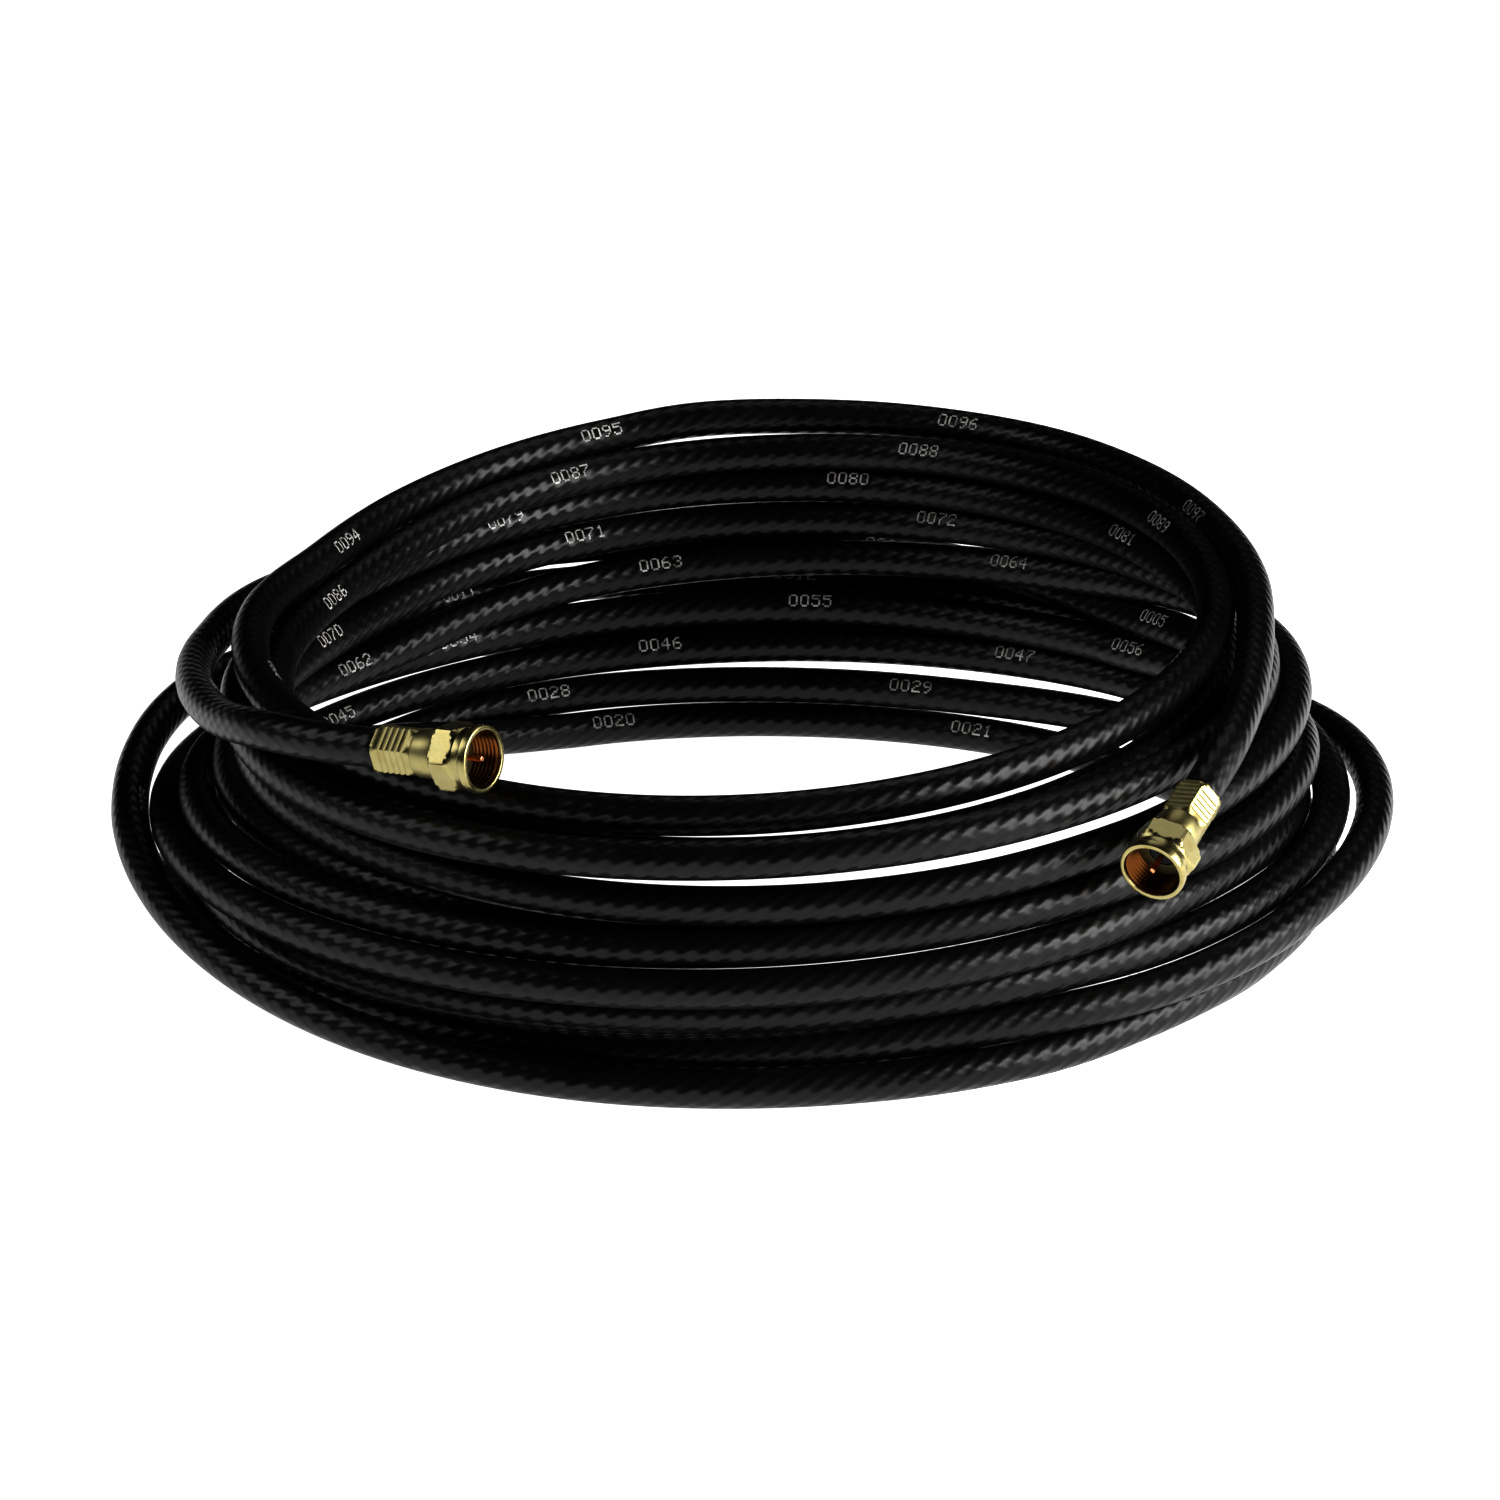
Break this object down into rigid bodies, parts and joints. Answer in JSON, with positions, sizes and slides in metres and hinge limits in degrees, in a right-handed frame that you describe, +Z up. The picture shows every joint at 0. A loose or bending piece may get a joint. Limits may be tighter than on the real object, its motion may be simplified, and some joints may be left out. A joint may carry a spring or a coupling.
{
  "type": "coaxial cable coil",
  "caption": "Coaxial lead wound by hand into a loose flat-lying coil, with a crimped screw-on plug on each free end.",
  "frame": {"origin": "on the resting plane, under the middle of the whole lead's box", "axes": "+Z up, along the coil's eye; +X to the right and +Y away from the viewer of the picture's side, so that both plugs point towards -Y"},
  "size_m": [0.2335, 0.215, 0.0674],
  "materials": {
    "jacket": "satin black plastic jacket with the braid showing through as fine slanting ribs",
    "plated_brass": "bright thin yellow plating",
    "copper": "bare copper-clad wire",
    "foam": "dark foam insulation, seen only down the plug"
  },
  "bodies": {
    "cable": {"cable_coil": "jacket", "left_tail": "jacket", "right_tail": "jacket", "left_crimp_sleeve": "plated_brass", "left_post": "plated_brass", "left_dielectric": "foam", "left_centre_pin": "copper", "right_crimp_sleeve": "plated_brass", "right_post": "plated_brass", "right_dielectric": "foam", "right_centre_pin": "copper"},
    "left_nut": {"left_nut": "plated_brass"},
    "right_nut": {"right_nut": "plated_brass"}
  },
  "joints": [
    {"name": "left_nut_spin", "type": "hinge", "parent": "cable", "child": "left_nut", "pos_m": [-0.04886, -0.09033, 0.06104], "axis": [0.8339, -0.5423, 0.1024], "continuous": true},
    {"name": "right_nut_spin", "type": "hinge", "parent": "cable", "child": "right_nut", "pos_m": [0.06997, -0.09151, 0.04375], "axis": [-0.4146, -0.8535, -0.3156], "continuous": true}
  ]
}
